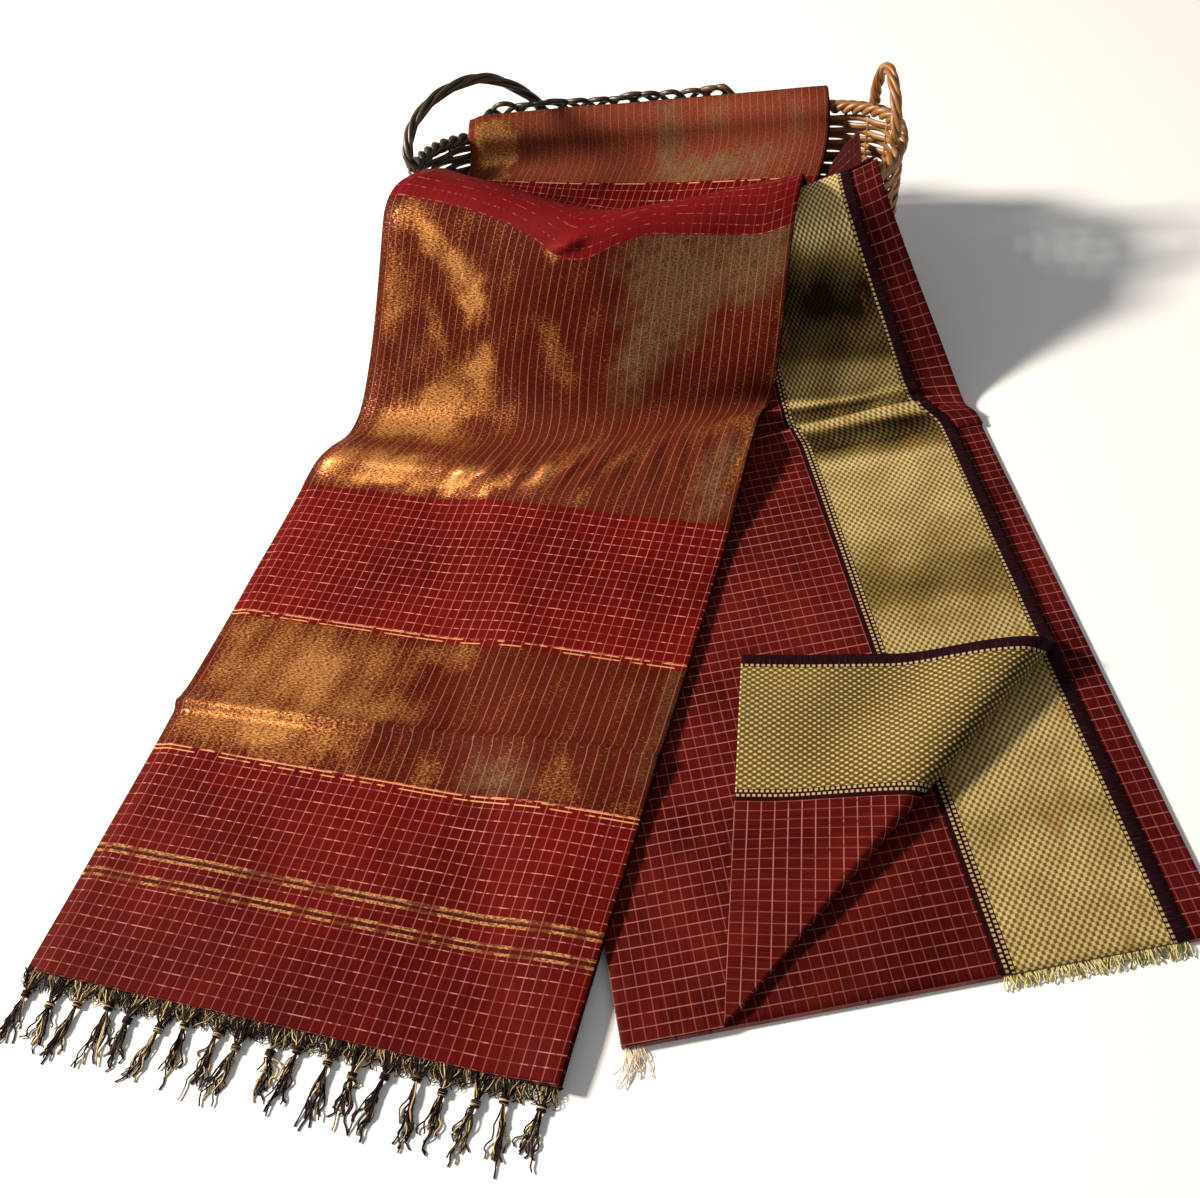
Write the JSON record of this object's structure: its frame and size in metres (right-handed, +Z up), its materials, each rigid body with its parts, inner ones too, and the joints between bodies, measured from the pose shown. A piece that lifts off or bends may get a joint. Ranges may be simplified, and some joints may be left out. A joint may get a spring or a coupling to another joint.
{
  "type": "saree and basket",
  "caption": "Red and gold checked silk saree, folded lengthwise and draped over a small oval cane basket, with the decorated end and the bordered end laid out on the floor.",
  "frame": {"origin": "middle of the bounding box, on the floor that the cloth and the basket rest on", "axes": "+Z up; +Y away from the viewer, from the laid-out ends towards the basket; +X to the viewer's right, along the basket"},
  "size_m": [0.5958, 0.7323, 0.1515],
  "materials": {
    "checked_silk": "satin",
    "gold_tissue": "satin",
    "inner_silk": "satin",
    "thread": "matte",
    "gold_thread": "satin",
    "cane": "satin"
  },
  "bodies": {
    "root": {"pallu_floor_top": "checked_silk", "pallu_floor_under": "inner_silk", "pallu_fall_top": "gold_tissue", "pallu_fall_under": "inner_silk", "pallu_dip_top": "checked_silk", "pallu_dip_under": "inner_silk", "pallu_back_top": "gold_tissue", "pallu_back_under": "inner_silk", "pallu_fringe": "thread", "body_floor_under": "inner_silk", "body_floor_second": "checked_silk", "body_floor_top": "checked_silk", "body_flap": "checked_silk", "body_fall_top": "checked_silk", "body_fall_under": "inner_silk", "body_inside": "checked_silk", "body_cut_ends": "gold_thread", "folded_stack": "inner_silk", "basket_bowl": "cane", "basket_rim": "cane", "basket_handle_left": "cane", "basket_handle_right": "cane"}
  },
  "joints": []
}
